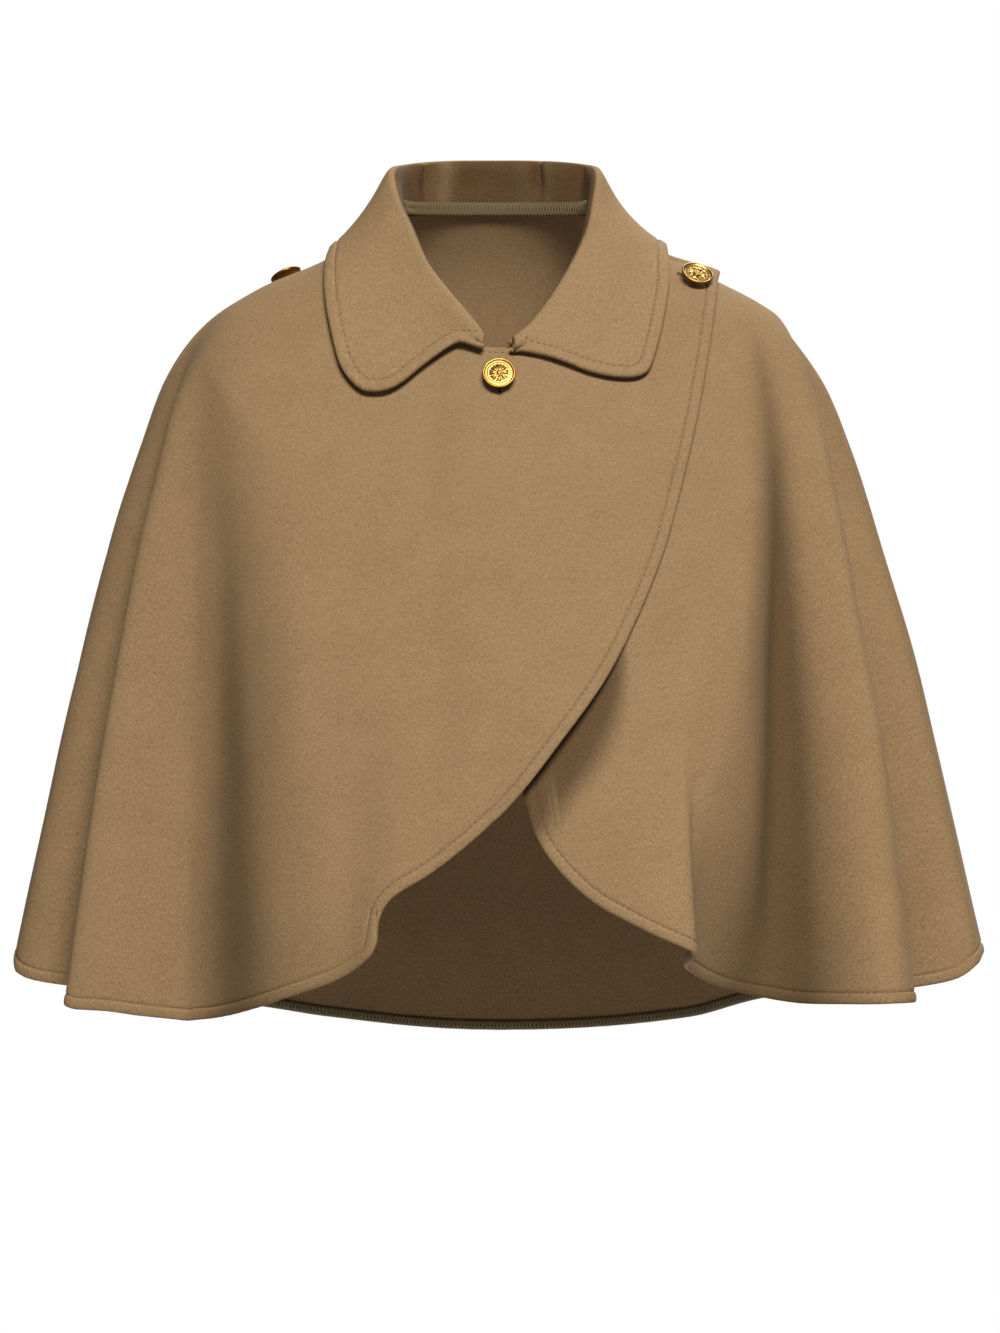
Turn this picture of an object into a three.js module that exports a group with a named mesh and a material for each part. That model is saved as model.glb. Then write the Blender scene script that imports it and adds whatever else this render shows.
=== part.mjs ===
// A short wool cape with a wrapped front, a turned-down collar and three gold shank buttons, in its worn
// form. Millimetres, +Z up. The front faces -Y and the wearer's left is +X. The origin is the middle of
// the neck hole, at the height where the cape lies on the shoulders.
import * as THREE from "three";

// Cloth and seams
const CLOTH = 2.6; // one layer of wool coating
const COLLAR_CLOTH = 3.6; // the collar's two layers, pressed
const SEAM_GAP = 0.3; // between the edges of two sewn pieces
const LAYER_GAP = 0.8; // between two layers that lie on each other

// Buttons
const BUTTON_RADIUS = 10;
const BUTTON_RIM = 1.4;
const BUTTON_HEIGHT = 3.4;
const BUTTON_DISH = 0.9;
const SHANK_RADIUS = 2.4;
const SHANK_LENGTH = 2.6;

const CLOTH_LOOK = { color: 0xa08058, roughness: 0.95, metalness: 0 };
const BUTTON_LOOK = { color: 0xd9a527, roughness: 0.25, metalness: 1 };

// The cape's rings from the neck seam, down 0, to the hem, down 1. Each ring crosses the shoulder or side
// seam sideX out from midX, at sideZ, the middle of the front at frontY, frontZ and the middle of the back
// at backY, backZ. A square of 2 is an ellipse, and more is boxier. A dip of 2 falls to the middle late,
// and of 1 evenly.
const ringAt = (down, [midX, sideX, sideZ], [frontY, frontZ], [backY, backZ], square, dip) => (
  { down, midX, sideX, sideZ, frontY, frontZ, backY, backZ, square, dip }
);
const RINGS = [
  ringAt(0.0, [0, 62, 13], [-68, -76], [50, 19], 2.0, 1.5),
  ringAt(0.1, [0, 102, -15], [-84, -112], [72, -18], 2.0, 1.7),
  ringAt(0.2, [0, 141, -32], [-98, -151], [88, -68], 2.05, 1.8),
  ringAt(0.3, [-1, 177, -53], [-111, -191], [100, -121], 2.1, 1.8),
  ringAt(0.4, [-1, 203, -88], [-122, -233], [110, -175], 2.15, 1.7),
  ringAt(0.5, [0, 220, -134], [-132, -275], [118, -229], 2.2, 1.6),
  ringAt(0.6, [0, 237, -189], [-141, -318], [125, -283], 2.2, 1.5),
  ringAt(0.7, [1, 254, -250], [-149, -361], [131, -338], 2.2, 1.4),
  ringAt(0.8, [1, 270, -316], [-156, -405], [137, -393], 2.2, 1.3),
  ringAt(0.9, [2, 285, -385], [-162, -449], [142, -448], 2.2, 1.2),
  ringAt(1.0, [3, 301, -455], [-168, -494], [147, -504], 2.2, 1.2),
];

// Folds of the hanging cloth, from the ring named by from down to the hem. The crest runs from the angle
// top to the angle hem; angles run round the cape from the middle of the front, 90 at the wearer's left.
// Half is half the fold's width in degrees, out its height at the hem, or a trough's depth if negative,
// and slide the distance that the cloth there has swung round the ring.
const FOLDS = [
  { name: "right_edge_ridge", top: -9, hem: -10, half: 10, out: 10, slide: -8, from: 0.55 },
  { name: "right_edge_gully", top: -17, hem: -20, half: 11, out: -9, slide: 8, from: 0.55 },
  { name: "right_front_trough", top: -67, hem: -41, half: 25.5, out: -65, slide: -12, from: 0.33 },
  { name: "right_arm_ridge", top: -88, hem: -52.5, half: 11.5, out: 18, slide: -6, from: 0.32 },
  { name: "right_arm_gully", top: -94.5, hem: -70.5, half: 12, out: -39, slide: 7, from: 0.21 },
  { name: "left_edge_ridge", top: 37, hem: 15, half: 14, out: 28, slide: 5, from: 0.5 },
  { name: "left_edge_gully", top: 35, hem: 26.5, half: 8.5, out: -5, slide: -32, from: 0.43 },
  { name: "left_front_trough", top: 87, hem: 32.5, half: 14, out: -50, slide: 3, from: 0.25 },
  { name: "left_arm_ridge", top: 97, hem: 48.5, half: 8.5, out: 16, slide: 0, from: 0.28 },
  { name: "left_arm_gully", top: 96, hem: 65.5, half: 14, out: -66, slide: 6, from: 0.29 },
  { name: "left_back_gully", top: 104, hem: 114, half: 14, out: -18, slide: 4, from: 0.35 },
  { name: "left_back_ridge", top: 118, hem: 130, half: 12, out: 11, slide: 0, from: 0.38 },
  { name: "left_blade_gully", top: 140, hem: 148, half: 14, out: -11, slide: 0, from: 0.5 },
  { name: "back_ridge", top: 174, hem: 176, half: 17, out: 4, slide: 0, from: 0.55 },
  { name: "right_blade_gully", top: -144, hem: -151, half: 15, out: -9, slide: 0, from: 0.45 },
  { name: "right_back_ridge", top: -120, hem: -132, half: 12, out: 12, slide: 0, from: 0.36 },
  { name: "right_back_gully", top: -105, hem: -115, half: 14, out: -19, slide: -4, from: 0.32 },
];
const FOLD_GROWTH = 0.95; // a fold deepens by this power of its way down
const FOLD_FAN = 0.45; // and comes to its hem angle by this power

// Lower edge of the right front, from its side seam along the hem and up the wrapped edge to the left
// shoulder.
const WRAP_EDGE = [
  { angle: -90, down: 0.99 },
  { angle: -84, down: 0.992 },
  { angle: -78, down: 0.999 },
  { angle: -70, down: 1 },
  { angle: -62, down: 1 },
  { angle: -57, down: 1 },
  { angle: -54, down: 0.998 },
  { angle: -51, down: 0.997 },
  { angle: -48, down: 0.999 },
  { angle: -45, down: 1 },
  { angle: -42, down: 1 },
  { angle: -39, down: 0.995 },
  { angle: -36, down: 0.989 },
  { angle: -33, down: 0.981 },
  { angle: -30, down: 0.971 },
  { angle: -27, down: 0.958 },
  { angle: -24, down: 0.942 },
  { angle: -20, down: 0.922 },
  { angle: -15.6, down: 0.898 },
  { angle: -12.8, down: 0.878 },
  { angle: -11.9, down: 0.858 },
  { angle: -12, down: 0.834 },
  { angle: -10.7, down: 0.805 },
  { angle: -6.3, down: 0.766 },
  { angle: -1.6, down: 0.714 },
  { angle: 2.3, down: 0.663 },
  { angle: 8.3, down: 0.589 },
  { angle: 13.9, down: 0.529 },
  { angle: 20.7, down: 0.46 },
  { angle: 27.5, down: 0.4 },
  { angle: 35.1, down: 0.337 },
  { angle: 42.1, down: 0.293 },
  { angle: 51.4, down: 0.25 },
  { angle: 63.8, down: 0.213 },
  { angle: 77.5, down: 0.191 },
  { angle: 87, down: 0.187 },
];
// Neckline of the right front: sewn to the collar as far as the middle, then free under the collar's other
// half.
const WRAP_NECK = [
  { angle: -90, down: 0 },
  { angle: -45, down: 0 },
  { angle: -10, down: 0 },
  { angle: 4, down: 0 },
  { angle: 16, down: 0.02 },
  { angle: 45, down: 0.034 },
  { angle: 87, down: 0.036 },
];

// Lower edge of the left front, from the rounded corner under the wrap to its side seam.
const UNDER_EDGE = [
  { angle: 2.9, down: 0.64 },
  { angle: 3.1, down: 0.678 },
  { angle: 4, down: 0.716 },
  { angle: 6.2, down: 0.758 },
  { angle: 10, down: 0.806 },
  { angle: 13.5, down: 0.836 },
  { angle: 16.5, down: 0.858 },
  { angle: 19.5, down: 0.876 },
  { angle: 21.5, down: 0.886 },
  { angle: 24.5, down: 0.9 },
  { angle: 26, down: 0.908 },
  { angle: 27, down: 0.912 },
  { angle: 28.5, down: 0.922 },
  { angle: 30, down: 0.936 },
  { angle: 32, down: 0.951 },
  { angle: 34, down: 0.96 },
  { angle: 36, down: 0.966 },
  { angle: 39, down: 0.972 },
  { angle: 44, down: 0.976 },
  { angle: 48, down: 0.979 },
  { angle: 52, down: 0.984 },
  { angle: 56, down: 0.991 },
  { angle: 60, down: 0.998 },
  { angle: 66, down: 1 },
  { angle: 70, down: 1 },
  { angle: 75, down: 0.995 },
  { angle: 79, down: 0.984 },
  { angle: 84, down: 0.982 },
  { angle: 90, down: 0.986 },
];
const UNDER_NECK = [
  { angle: -11, down: 0 },
  { angle: 40, down: 0 },
  { angle: 90, down: 0 },
];

// The back, between its two side seams.
const BACK_EDGE = [
  { angle: 90, down: 0.986 },
  { angle: 104, down: 0.975 },
  { angle: 120, down: 0.972 },
  { angle: 147, down: 0.977 },
  { angle: 158, down: 0.991 },
  { angle: 180, down: 1 },
  { angle: 200, down: 0.989 },
  { angle: 210, down: 0.983 },
  { angle: 240, down: 0.983 },
  { angle: 270, down: 0.99 },
];
const BACK_NECK = [
  { angle: 90, down: 0 },
  { angle: 180, down: 0 },
  { angle: 270, down: 0 },
];

// The collar's three lines, each from its end at the left front, round the back, to its end at the right
// front. It is sewn along the neckline, rolls over at a line in the air, and its outer edge lies a gap
// above the layer below.
const COLLAR_SEAM = [
  { angle: 7, down: 0 },
  { angle: 45, down: 0 },
  { angle: 90, down: 0 },
  { angle: 180, down: 0 },
  { angle: 270, down: 0 },
  { angle: 315, down: 0 },
  { angle: 353, down: 0 },
];
const COLLAR_ROLL = [
  { x: 11, y: -76, z: -70 },
  { x: 23, y: -68, z: -60 },
  { x: 41, y: -54, z: -35 },
  { x: 57, y: -30, z: -3 },
  { x: 62, y: -15, z: 19 },
  { x: 63.5, y: 6, z: 39 },
  { x: 56, y: 29, z: 45 },
  { x: 33, y: 42, z: 48.5 },
  { x: 0, y: 48, z: 49.5 },
  { x: -33, y: 42, z: 48.5 },
  { x: -56, y: 29, z: 45 },
  { x: -64.5, y: 6, z: 39 },
  { x: -61, y: -15, z: 19 },
  { x: -54, y: -26, z: 3 },
  { x: -43.5, y: -44, z: -21 },
  { x: -30.5, y: -57, z: -39 },
  { x: -20, y: -67, z: -52 },
  { x: -7, y: -76, z: -68 },
];
const COLLAR_EDGE = [
  { angle: 7, down: 0.011, gap: 1.7 },
  { angle: 13.1, down: 0.02, gap: 2.7 },
  { angle: 21.4, down: 0.048, gap: 2.7 },
  { angle: 27.3, down: 0.081, gap: 2.7 },
  { angle: 32.2, down: 0.118, gap: 1.7 },
  { angle: 36.9, down: 0.151, gap: 1.7 },
  { angle: 40.7, down: 0.172, gap: 1.7 },
  { angle: 43.6, down: 0.177, gap: 1.7 },
  { angle: 49.1, down: 0.165, gap: 1.7 },
  { angle: 58, down: 0.145, gap: 1.7 },
  { angle: 66.3, down: 0.13, gap: 1.7 },
  { angle: 77, down: 0.112, gap: 0.6 },
  { angle: 90, down: 0.1, gap: 0.3 },
  { angle: 120, down: 0.108, gap: 1.1 },
  { angle: 180, down: 0.12, gap: 1.1 },
  { angle: 240, down: 0.106, gap: 1.1 },
  { angle: 270, down: 0.095, gap: 1 },
  { angle: 281, down: 0.108, gap: 1 },
  { angle: 289.9, down: 0.122, gap: 1.1 },
  { angle: 295.1, down: 0.131, gap: 1.6 },
  { angle: 302.9, down: 0.146, gap: 2.1 },
  { angle: 308.7, down: 0.159, gap: 2.1 },
  { angle: 315.1, down: 0.174, gap: 2.1 },
  { angle: 320.3, down: 0.177, gap: 2.1 },
  { angle: 323.8, down: 0.171, gap: 2.1 },
  { angle: 328.6, down: 0.141, gap: 3.1 },
  { angle: 333.1, down: 0.077, gap: 4.1 },
  { angle: 336.7, down: 0.04, gap: 5.1 },
  { angle: 341.1, down: 0.017, gap: 5.1 },
  { angle: 350, down: 0.01, gap: 5.1 },
  { angle: 354.1, down: 0.009, gap: 5.1 },
];
const UPRIGHT = 3.2; // the stand's straight part above the neck seam
const ROLL_RADIUS = 3.4; // of the roll line's bend, to the middle of the cloth
const FALL_BOW = 2.5; // how far the fall bows inwards between the roll line and its edge

// The wrapped front lies on the left front by a cloth's thickness from wrapStart on, and hangs free of it
// lower down.
const WRAP = {
  start: -42,
  full: -12,
  swing: 9,
  swingTop: -215,
  swingBottom: -350,
  cornerLift: 3.5,
  cornerStart: 92,
  backFade: 30,
};

const BUTTONS = [
  { name: "neck_button", angle: 1.5, down: 0.053, layers: 1 },
  { name: "left_shoulder_button", angle: 74.7, down: 0.159, layers: 1 },
  { name: "right_shoulder_button", angle: 258, down: 0.174, layers: 0 },
];

// Squares in each wall's grid, across and down
const GRID = { right: [54, 15], left: [34, 15], back: [42, 15], collar: [54, 9] };

const DEGREE = Math.PI / 180;
const lerp = THREE.MathUtils.lerp;
const ease = (value, from, to) => THREE.MathUtils.smoothstep(value, Math.min(from, to), Math.max(from, to));

// The value of a table's column between its rows, on one smooth curve.
function along(rows, place, column, at) {
  const last = rows.length - 1;
  let k = 0;
  while (k < last - 1 && at > rows[k + 1][place]) k += 1;
  const slope = (row) => {
    const before = rows[Math.max(row - 1, 0)];
    const after = rows[Math.min(row + 1, last)];
    return (after[column] - before[column]) / (after[place] - before[place]);
  };
  const span = rows[k + 1][place] - rows[k][place];
  const u = (at - rows[k][place]) / span;
  const start = rows[k][column];
  const step = rows[k + 1][column] - start;
  const a = slope(k) * span;
  const b = slope(k + 1) * span;
  return start + u * a + u * u * (3 * step - 2 * a - b) + u * u * u * (a + b - 2 * step);
}

// A point of the smooth form, before the folds.
function formPoint(angle, down) {
  const s = Math.sin(angle * DEGREE);
  const c = Math.cos(angle * DEGREE);
  const ring = (column) => along(RINGS, "down", column, down);
  const power = 2 / ring("square");
  const depth = c > 0 ? -ring("frontY") : ring("backY");
  const end = c > 0 ? ring("frontZ") : ring("backZ");
  const x = ring("midX") + ring("sideX") * Math.sign(s) * Math.abs(s) ** power;
  const y = -Math.sign(c) * depth * Math.abs(c) ** power;
  const z = lerp(ring("sideZ"), end, Math.abs(c) ** ring("dip"));
  return new THREE.Vector3(x, y, z);
}

// The turn between two angles, from -180 to 180 degrees.
function turnTo(angle, from) {
  return ((((angle - from + 180) % 360) + 360) % 360) - 180;
}

// A point on the middle of the cape's cloth, folds included.
function clothPoint(angle, down) {
  const point = formPoint(angle, down);
  const width = along(RINGS, "down", "sideX", down);
  const depth = along(RINGS, "down", point.y < 0 ? "frontY" : "backY", down);
  const outward = new THREE.Vector3(point.x / width ** 2, point.y / depth ** 2, 0).normalize();
  const around = new THREE.Vector3(-outward.y, outward.x, 0);
  for (const fold of FOLDS) {
    if (down <= fold.from) continue;
    const way = (down - fold.from) / (1 - fold.from);
    const crest = lerp(fold.top, fold.hem, way ** FOLD_FAN);
    const away = Math.abs(turnTo(angle, crest)) / fold.half;
    if (away >= 1) continue;
    const bell = way ** FOLD_GROWTH * Math.cos((away * Math.PI) / 2) ** 2;
    point.addScaledVector(outward, fold.out * bell).addScaledVector(around, fold.slide * bell);
  }
  return point;
}

// The cloth's outward normal, and the direction down the cloth.
function clothFrame(angle, down) {
  const STEP = 0.004;
  const low = Math.max(down - STEP, 0);
  const high = Math.min(down + STEP, 1);
  const around = clothPoint(angle + 0.5, down).sub(clothPoint(angle - 0.5, down));
  const fall = clothPoint(angle, high).sub(clothPoint(angle, low)).normalize();
  const normal = new THREE.Vector3().crossVectors(fall, around).normalize();
  return { normal, fall };
}

// Rows with run added, the share of the line's length that they lie at.
function measured(rows, pointOf) {
  const lengths = [0];
  for (let k = 1; k < rows.length; k += 1) {
    lengths.push(lengths[k - 1] + pointOf(rows[k]).distanceTo(pointOf(rows[k - 1])));
  }
  return rows.map((row, k) => ({ ...row, run: lengths[k] / lengths[rows.length - 1] }));
}

const onForm = (row) => formPoint(row.angle, row.down);

// How far the wrapped front lies outside the layer below it.
function wrapLift(angle, down) {
  const at = formPoint(angle, down);
  const lie = (CLOTH + LAYER_GAP) * ease(at.x, WRAP.start, WRAP.full);
  const swing = WRAP.swing * ease(at.x, WRAP.start, 60) * ease(-at.z, -WRAP.swingTop, -WRAP.swingBottom);
  const corner = WRAP.cornerLift * ease(at.x, WRAP.cornerStart, 136);
  return (lie + swing + corner) * (1 - ease(at.y, 0, WRAP.backFade));
}

// A closed wall from a grid of middle points with their normals.
function wallGeometry(columns, rows, place, thickness) {
  const positions = [];
  const indices = [];
  const stride = rows + 1;
  const sheet = (columns + 1) * stride;
  for (const side of [0.5, -0.5]) {
    for (let j = 0; j <= columns; j += 1) {
      for (let i = 0; i <= rows; i += 1) {
        const { point, normal } = place(j / columns, i / rows);
        positions.push(...point.clone().addScaledVector(normal, side * thickness).toArray());
      }
    }
  }
  const quad = (a, b, c, d) => indices.push(a, b, c, a, c, d);
  const at = (j, i) => j * stride + i;
  for (let j = 0; j < columns; j += 1) {
    for (let i = 0; i < rows; i += 1) {
      quad(at(j, i), at(j, i + 1), at(j + 1, i + 1), at(j + 1, i));
      quad(sheet + at(j, i), sheet + at(j + 1, i), sheet + at(j + 1, i + 1), sheet + at(j, i + 1));
    }
    quad(at(j + 1, 0), sheet + at(j + 1, 0), sheet + at(j, 0), at(j, 0));
    quad(at(j, rows), sheet + at(j, rows), sheet + at(j + 1, rows), at(j + 1, rows));
  }
  for (let i = 0; i < rows; i += 1) {
    quad(at(0, i), sheet + at(0, i), sheet + at(0, i + 1), at(0, i + 1));
    quad(at(columns, i + 1), sheet + at(columns, i + 1), sheet + at(columns, i), at(columns, i));
  }
  const geometry = new THREE.BufferGeometry();
  geometry.setAttribute("position", new THREE.Float32BufferAttribute(positions, 3));
  geometry.setIndex(indices);
  geometry.computeVertexNormals();
  return geometry;
}

// A panel whose columns run from its neckline to its lower edge. Seams lists its side edges, run 0 or 1,
// that are sewn to another panel and set back from it by half the seam gap.
function panelGeometry([columns, rows], neckRows, edgeRows, { lift = () => 0, seams = [] }) {
  const neck = measured(neckRows, onForm);
  const edge = measured(edgeRows, onForm);
  const place = (run, share) => {
    const spot = (column) => lerp(along(neck, "run", column, run), along(edge, "run", column, run), share);
    const angle = spot("angle");
    const down = THREE.MathUtils.clamp(spot("down"), 0, 1);
    const { normal, fall } = clothFrame(angle, down);
    const point = clothPoint(angle, down).addScaledVector(normal, lift(angle, down));
    const setBack = seams.includes(run) ? SEAM_GAP / 2 : 0;
    const inward = new THREE.Vector3().crossVectors(normal, fall).multiplyScalar(run === 0 ? 1 : -1);
    point.addScaledVector(inward, setBack);
    return { point, normal };
  };
  return wallGeometry(columns, rows, place, CLOTH);
}

const seamLine = measured(COLLAR_SEAM, onForm);
const rollLine = measured(COLLAR_ROLL, (row) => new THREE.Vector3(row.x, row.y, row.z));
const edgeLine = measured(COLLAR_EDGE, onForm);

// How far the middle of the collar's cloth is from the middle of the back's or the left front's, with the
// wrapped front between them where there is one.
const collarLift = (angle, down) => wrapLift(angle, down) + (CLOTH + COLLAR_CLOTH) / 2 + LAYER_GAP;

// Points of the collar's section at one place: up the stand, over the roll line and down the fall.
function collarSection(run) {
  const seamAngle = turnTo(along(seamLine, "run", "angle", run), 0);
  const { normal, fall } = clothFrame(seamAngle, 0);
  const seamLift = run > 0.5 ? wrapLift(seamAngle, 0) : 0;
  const foot = clothPoint(seamAngle, 0).addScaledVector(normal, seamLift).addScaledVector(fall, -SEAM_GAP);
  const upright = foot.clone().addScaledVector(fall, -UPRIGHT);
  const roll = new THREE.Vector3(...["x", "y", "z"].map((axis) => along(rollLine, "run", axis, run)));
  const edgeAngle = turnTo(along(edgeLine, "run", "angle", run), 0);
  const edgeDown = along(edgeLine, "run", "down", run);
  const edgeLift = collarLift(edgeAngle, edgeDown) + along(edgeLine, "run", "gap", run);
  const edge = clothPoint(edgeAngle, edgeDown);
  edge.addScaledVector(clothFrame(edgeAngle, edgeDown).normal, edgeLift);
  const outward = edge.clone().sub(foot).setZ(0).normalize();
  const up = new THREE.Vector3(0, 0, 1);
  const bend = Math.min(ROLL_RADIUS, roll.distanceTo(foot) / 3);
  const inside = roll.clone().addScaledVector(outward, -bend).addScaledVector(up, -bend);
  const outside = roll.clone().addScaledVector(outward, bend).addScaledVector(up, -bend);
  const bow = new THREE.Vector3().addVectors(outward, up).setLength(FALL_BOW);
  const fallPoint = (share) => {
    const point = outside.clone().lerp(edge, share).addScaledVector(bow, -4 * share * (1 - share));
    const angle = seamAngle + turnTo(edgeAngle, seamAngle) * share;
    const down = edgeDown * share;
    const onCape = clothFrame(angle, down).normal;
    const height = point.clone().sub(clothPoint(angle, down)).dot(onCape);
    return point.addScaledVector(onCape, Math.max(0, collarLift(angle, down) - height));
  };
  const points = [
    foot, upright, upright.clone().lerp(inside, 0.5), inside, roll, outside,
    fallPoint(0.25), fallPoint(0.5), fallPoint(0.75), edge,
  ];
  const last = points.length - 1;
  const rows = points.map(({ x, y, z }, k) => ({ share: k / last, x, y, z }));
  return { rows, footNormal: normal };
}

function collarPoint(run, share) {
  const { rows } = collarSection(run);
  const value = (column) => along(rows, "share", column, share);
  return new THREE.Vector3(value("x"), value("y"), value("z"));
}

function collarGeometry([columns, rows]) {
  const STEP = 0.004;
  const place = (run, share) => {
    const point = collarPoint(run, share);
    if (share === 0) return { point, normal: collarSection(run).footNormal };
    const before = Math.max(run - STEP, 0);
    const after = Math.min(run + STEP, 1);
    const below = Math.max(share - STEP, 0);
    const above = Math.min(share + STEP, 1);
    const around = collarPoint(after, share).sub(collarPoint(before, share));
    const over = collarPoint(run, above).sub(collarPoint(run, below));
    return { point, normal: new THREE.Vector3().crossVectors(over, around).normalize() };
  };
  return wallGeometry(columns, rows, place, COLLAR_CLOTH);
}

// A domed shank button about +Z, its shank's foot at the origin.
function buttonGeometry() {
  const face = SHANK_LENGTH + BUTTON_HEIGHT;
  const profile = [
    [0, 0],
    [SHANK_RADIUS, 0],
    [SHANK_RADIUS, SHANK_LENGTH],
    [BUTTON_RADIUS - 0.6, SHANK_LENGTH + 1.4],
    [BUTTON_RADIUS, face - 0.8],
    [BUTTON_RADIUS - BUTTON_RIM / 2, face],
    [BUTTON_RADIUS - BUTTON_RIM, face - 0.2],
    [BUTTON_RADIUS - BUTTON_RIM - 0.9, face - BUTTON_DISH],
    [0, face - BUTTON_DISH * 0.6],
  ];
  const SIDES = 20;
  const points = profile.map(([radius, height]) => new THREE.Vector2(radius, height));
  return new THREE.LatheGeometry(points, SIDES).rotateX(Math.PI / 2);
}

// A button standing on the cloth, with the same small gap to it as a seam has.
function buttonMesh(row) {
  const mesh = new THREE.Mesh(buttonGeometry(), new THREE.MeshStandardMaterial(BUTTON_LOOK));
  const { normal } = clothFrame(row.angle, row.down);
  const lift = row.layers * wrapLift(row.angle, row.down) + CLOTH / 2 + SEAM_GAP;
  mesh.name = row.name;
  mesh.position.copy(clothPoint(row.angle, row.down)).addScaledVector(normal, lift);
  mesh.quaternion.setFromUnitVectors(new THREE.Vector3(0, 0, 1), normal);
  return mesh;
}

function clothMesh(name, geometry) {
  const mesh = new THREE.Mesh(geometry, new THREE.MeshStandardMaterial(CLOTH_LOOK));
  mesh.name = name;
  return mesh;
}

const cape = new THREE.Group();
cape.add(
  clothMesh("right_front", panelGeometry(GRID.right, WRAP_NECK, WRAP_EDGE, { lift: wrapLift, seams: [0] })),
  clothMesh("left_front", panelGeometry(GRID.left, UNDER_NECK, UNDER_EDGE, { seams: [1] })),
  clothMesh("back", panelGeometry(GRID.back, BACK_NECK, BACK_EDGE, { seams: [0, 1] })),
  clothMesh("collar", collarGeometry(GRID.collar)),
  ...BUTTONS.map(buttonMesh),
);
export default cape;
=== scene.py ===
import math
from collections import namedtuple

import bpy
import numpy as np
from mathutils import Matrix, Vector
from mathutils.kdtree import KDTree


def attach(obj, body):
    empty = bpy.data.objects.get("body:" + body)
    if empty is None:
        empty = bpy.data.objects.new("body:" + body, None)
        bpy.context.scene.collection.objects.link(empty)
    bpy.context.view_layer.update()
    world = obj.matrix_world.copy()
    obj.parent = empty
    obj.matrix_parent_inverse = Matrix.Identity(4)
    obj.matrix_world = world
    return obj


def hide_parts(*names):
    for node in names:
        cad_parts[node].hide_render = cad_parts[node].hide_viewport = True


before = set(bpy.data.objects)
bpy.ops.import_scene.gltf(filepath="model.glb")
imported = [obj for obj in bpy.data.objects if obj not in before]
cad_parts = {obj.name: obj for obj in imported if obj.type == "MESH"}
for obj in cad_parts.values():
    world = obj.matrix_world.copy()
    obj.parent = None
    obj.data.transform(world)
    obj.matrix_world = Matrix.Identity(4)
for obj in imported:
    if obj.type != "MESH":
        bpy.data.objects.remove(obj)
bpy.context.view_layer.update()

MM = 0.001

# Cloth, seams and stitches
CLOTH = 2.6
COLLAR_CLOTH = 3.6
SEAM_GAP = 0.3
LAYER_GAP = 0.8
STITCH_INSET = 6.8  # from a finished edge to its row of stitches
COLLAR_INSET = 7.6
STITCH_LENGTH = 3.1
STITCH_PITCH = 3.8
THREAD = 0.23  # radius of the sewing thread
STITCH_SAMPLE = 0.5  # step of the points along a stitch
STITCH_RISE = 0.3
STITCH_SINK = 0.16  # how deep a stitch's ends lie in the cloth
HEM_PUFF = 0.45  # how far the turned edge swells beside its stitches
STITCH_DIP = 0.62  # how deep the stitches pull the cloth in
STITCH_DIP_WIDTH = 0.75
INNER_ROW_OFFSET = 1.4  # how much further in the stitches lie on the inner face
OVERLOCK_THREAD = 0.3
HEM_OVERLOCK = (6.4, 2.4)  # width of the band and pitch of its threads, inside the back hem
NECK_BAND_RISE = 1.2  # how high over the neck seam the middle of its band lies, at the middle back
NECK_BAND_REACH = 96  # degrees to either side of the middle back
BAND_STAND_OFF = 1.1  # from the stand's inner face to the middle of the band
NECK_OVERLOCK = (8.8, 2.2)  # the same over the neck seam
NECKLINE_ROW = (0.32, 0.62, 7 / 470)  # first and last share of the neckline, and share of the way down
BUTTONHOLE = (23, 2.2, 0.55)  # length, width and pitch of its stitches
HOLE_THREAD = 0.2

# The cape's rings from the neck seam, down 0, to the hem, down 1, as in the solids
RING_COLUMNS = ("down", "midX", "sideX", "sideZ", "frontY", "frontZ", "backY", "backZ", "square", "dip")
RINGS = [
    (0.0, 0, 62, 13, -68, -76, 50, 19, 2.0, 1.5),
    (0.1, 0, 102, -15, -84, -112, 72, -18, 2.0, 1.7),
    (0.2, 0, 141, -32, -98, -151, 88, -68, 2.05, 1.8),
    (0.3, -1, 177, -53, -111, -191, 100, -121, 2.1, 1.8),
    (0.4, -1, 203, -88, -122, -233, 110, -175, 2.15, 1.7),
    (0.5, 0, 220, -134, -132, -275, 118, -229, 2.2, 1.6),
    (0.6, 0, 237, -189, -141, -318, 125, -283, 2.2, 1.5),
    (0.7, 1, 254, -250, -149, -361, 131, -338, 2.2, 1.4),
    (0.8, 1, 270, -316, -156, -405, 137, -393, 2.2, 1.3),
    (0.9, 2, 285, -385, -162, -449, 142, -448, 2.2, 1.2),
    (1.0, 3, 301, -455, -168, -494, 147, -504, 2.2, 1.2),
]
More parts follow.
